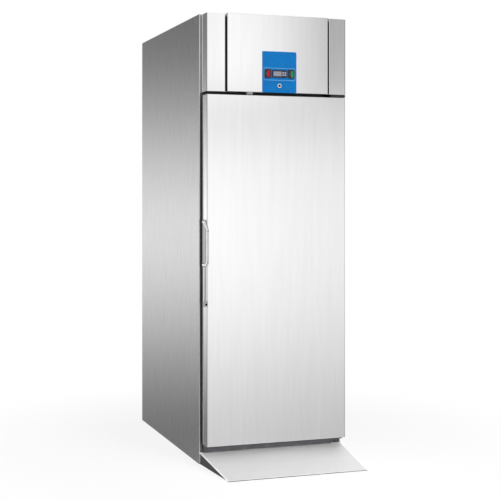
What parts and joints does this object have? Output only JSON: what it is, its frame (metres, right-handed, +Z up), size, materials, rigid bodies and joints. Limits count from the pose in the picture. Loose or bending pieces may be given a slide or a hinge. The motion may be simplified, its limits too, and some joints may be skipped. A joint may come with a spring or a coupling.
{
  "type": "roll-in refrigerator",
  "caption": "Tall upright roll-in refrigerator for a trolley, full-height hinged door, machine space with lift-up control panel on top and a loading ramp.",
  "frame": {"origin": "centre of the cabinet's footprint on the floor, between the side panels and between the front flanges and the rear panel", "axes": "+Z up, the door and ramp face -Y, +X to the viewer's right from the front"},
  "size_m": [0.766, 1.618, 2.235],
  "materials": {
    "stainless_brushed": "brushed",
    "stainless_satin": "satin",
    "galvanised": "spangled zinc",
    "zinc_steel": "zinc plated",
    "dark_steel": "blackened",
    "chrome_wire": "bright",
    "aluminium_fins": "mill",
    "copper": "drawn",
    "black_paint": "semi-gloss paint",
    "blue_film": "printed film on aluminium",
    "dark_plastic": "fine texture",
    "grey_plastic": "fine texture",
    "white_plastic": "satin",
    "red_plastic": "gloss",
    "green_plastic": "gloss",
    "grey_rubber": "matt",
    "black_rubber": "matt",
    "foam": "cut foam"
  },
  "bodies": {
    "cabinet": {"side_panel_left": "stainless_brushed", "side_panel_right": "stainless_brushed", "rear_panel": "galvanised", "rear_grille": "galvanised", "cable_gland": "grey_plastic", "base_plate": "galvanised", "floor_plate": "stainless_brushed", "machine_deck": "galvanised", "body_insulation": "foam", "side_liners": "stainless_brushed", "liner_rear": "stainless_brushed", "liner_ceiling": "stainless_brushed", "door_frame": "grey_plastic", "guide_rails": "stainless_brushed", "duct_cover": "stainless_brushed", "fan_guards": "chrome_wire", "evaporator_coil": "aluminium_fins", "drain_tray": "stainless_brushed", "ceiling_lamp": "white_plastic", "ramp": "stainless_brushed", "fascia_corner_left": "stainless_satin", "fascia_corner_right": "stainless_satin", "fascia_soffit": "stainless_satin", "panel_pivots": "zinc_steel", "door_switch": "white_plastic", "hinge_bracket_bottom": "dark_steel", "hinge_bracket_top": "dark_steel", "condenser_coil": "aluminium_fins", "fan_shroud": "black_paint", "fan_motors": "black_paint", "compressor": "black_paint", "compressor_mounts": "black_rubber", "refrigerant_lines": "copper", "control_box": "grey_plastic", "cabinet_screws": "zinc_steel"},
    "door": {"door_skin": "stainless_satin", "door_liner": "stainless_brushed", "door_insulation": "foam", "hinge_bushes": "white_plastic", "door_gasket": "grey_rubber", "door_sweep": "grey_rubber", "handle_plate": "chrome_wire", "handle_grip": "stainless_satin", "lock_housing": "chrome_wire"},
    "door_lock": {"door_lock_plug": "chrome_wire"},
    "service_panel": {"service_panel": "stainless_satin", "control_plate": "blue_film", "controller": "dark_plastic", "rocker_frames": "dark_plastic", "panel_lock_barrel": "chrome_wire"},
    "panel_lock": {"panel_lock_plug": "dark_steel"},
    "rocker_left": {"rocker_left": "red_plastic"},
    "rocker_right": {"rocker_right": "green_plastic"},
    "key_1": {"controller_key_1": "grey_plastic"},
    "key_2": {"controller_key_2": "grey_plastic"},
    "key_3": {"controller_key_3": "grey_plastic"},
    "key_4": {"controller_key_4": "grey_plastic"},
    "condenser_fan": {"condenser_fan": "dark_plastic"},
    "evaporator_fan_left": {"evaporator_fan_left": "dark_plastic"},
    "evaporator_fan_right": {"evaporator_fan_right": "dark_plastic"}
  },
  "joints": [
    {"name": "door_hinge", "type": "hinge", "parent": "cabinet", "child": "door", "pos_m": [0.348, -0.6565, 0.9], "axis": [0, 0, 1], "range_deg": [0, 110]},
    {"name": "door_lock_turn", "type": "hinge", "parent": "door", "child": "door_lock", "pos_m": [-0.378, -0.718, 0.803], "axis": [0, 1, 0], "range_deg": [0, 90]},
    {"name": "service_panel_hinge", "type": "hinge", "parent": "cabinet", "child": "service_panel", "pos_m": [0, -0.692, 2.222], "axis": [-1, 0, 0], "range_deg": [0, 85]},
    {"name": "panel_lock_turn", "type": "hinge", "parent": "service_panel", "child": "panel_lock", "pos_m": [0.005, -0.7082, 1.881], "axis": [0, 1, 0], "range_deg": [0, 90]},
    {"name": "rocker_left_tilt", "type": "hinge", "parent": "service_panel", "child": "rocker_left", "pos_m": [-0.0575, -0.70738, 1.94], "axis": [0, 0, 1], "range_deg": [0, 14]},
    {"name": "rocker_right_tilt", "type": "hinge", "parent": "service_panel", "child": "rocker_right", "pos_m": [0.0675, -0.70738, 1.94], "axis": [0, 0, 1], "range_deg": [0, 14]},
    {"name": "condenser_fan_spin", "type": "hinge", "parent": "cabinet", "child": "condenser_fan", "pos_m": [0.125, -0.2, 2.004], "axis": [0, 1, 0], "continuous": true},
    {"name": "evaporator_fan_left_spin", "type": "hinge", "parent": "cabinet", "child": "evaporator_fan_left", "pos_m": [-0.15, 0.35, 1.56], "axis": [0, 1, 0], "continuous": true},
    {"name": "evaporator_fan_right_spin", "type": "hinge", "parent": "cabinet", "child": "evaporator_fan_right", "pos_m": [0.15, 0.35, 1.56], "axis": [0, 1, 0], "continuous": true},
    {"name": "key_1_press", "type": "slide", "parent": "service_panel", "child": "key_1", "axis": [0, 1, 0], "range_m": [0, 0.0008], "stiffness_N_per_m": 250},
    {"name": "key_2_press", "type": "slide", "parent": "service_panel", "child": "key_2", "axis": [0, 1, 0], "range_m": [0, 0.0008], "stiffness_N_per_m": 250},
    {"name": "key_3_press", "type": "slide", "parent": "service_panel", "child": "key_3", "axis": [0, 1, 0], "range_m": [0, 0.0008], "stiffness_N_per_m": 250},
    {"name": "key_4_press", "type": "slide", "parent": "service_panel", "child": "key_4", "axis": [0, 1, 0], "range_m": [0, 0.0008], "stiffness_N_per_m": 250}
  ]
}
